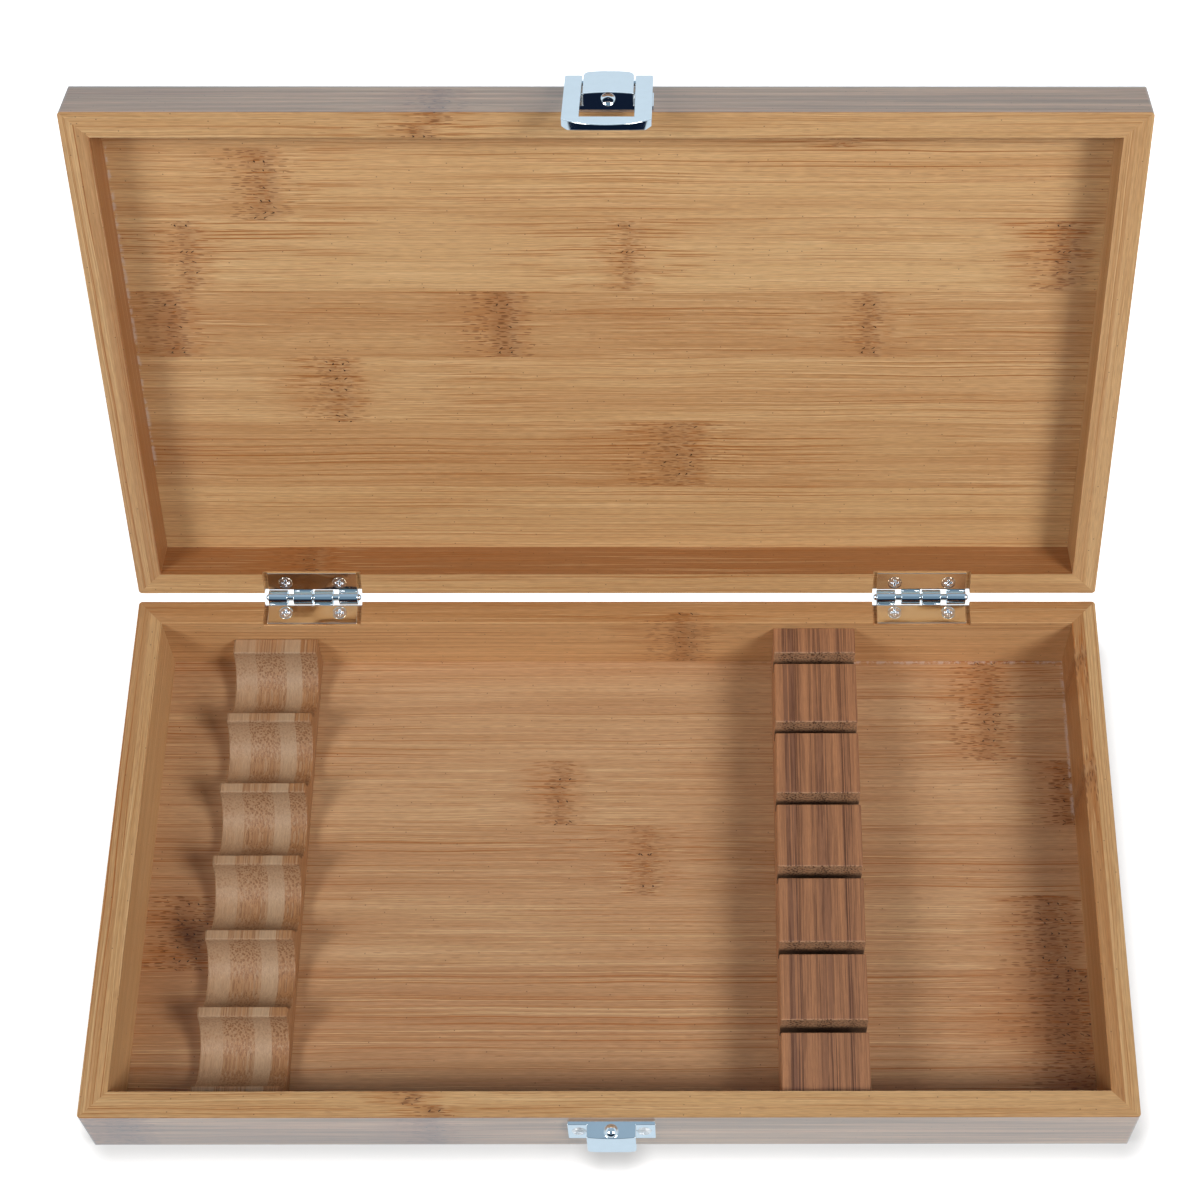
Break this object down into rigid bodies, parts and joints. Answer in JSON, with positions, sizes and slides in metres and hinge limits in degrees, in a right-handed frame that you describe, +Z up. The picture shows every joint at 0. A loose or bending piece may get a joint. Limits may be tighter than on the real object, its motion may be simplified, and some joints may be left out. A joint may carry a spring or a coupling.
{
  "type": "steak knife box",
  "caption": "Shallow bamboo box with a hinged lid, a rack of handle channels, a rack of blade slots, butt hinges and a swing clasp, shown open and empty.",
  "frame": {"origin": "middle of the underside of the base", "axes": "+X along the box to the blade side, +Y to the hinges at the back, +Z up"},
  "size_m": [0.27, 0.2275, 0.1799],
  "materials": {
    "bamboo": "satin",
    "pale_bamboo": "satin",
    "dark_bamboo": "satin",
    "polished_metal": "polished",
    "screw_metal": "polished"
  },
  "bodies": {
    "base": {"base_floor_panel": "bamboo", "base_front_wall": "bamboo", "base_rear_wall": "bamboo", "base_left_wall": "bamboo", "base_right_wall": "bamboo", "handle_rack": "pale_bamboo", "blade_rack": "dark_bamboo", "left_hinge_base_leaf": "polished_metal", "left_hinge_pin": "polished_metal", "left_hinge_base_screws": "screw_metal", "right_hinge_base_leaf": "polished_metal", "right_hinge_pin": "polished_metal", "right_hinge_base_screws": "screw_metal", "catch_plate": "polished_metal", "catch_screws": "screw_metal"},
    "lid": {"lid_top_panel": "bamboo", "lid_front_wall": "bamboo", "lid_rear_wall": "bamboo", "lid_left_wall": "bamboo", "lid_right_wall": "bamboo", "left_hinge_lid_leaf": "polished_metal", "left_hinge_lid_screws": "screw_metal", "right_hinge_lid_leaf": "polished_metal", "right_hinge_lid_screws": "screw_metal", "latch_plate": "polished_metal", "latch_plate_screws": "screw_metal", "latch_pivot_pin": "polished_metal"},
    "clasp": {"clasp_frame": "polished_metal"}
  },
  "joints": [
    {"name": "lid_hinge", "type": "hinge", "parent": "base", "child": "lid", "pos_m": [0, 0.0769, 0.02527], "axis": [1, 0, 0], "range_deg": [0, 111.4]},
    {"name": "clasp_pivot", "type": "hinge", "parent": "lid", "child": "clasp", "pos_m": [0.0005, 0.14327, 0.16564], "axis": [-1, 0, 0], "range_deg": [-5.2, 100]}
  ]
}
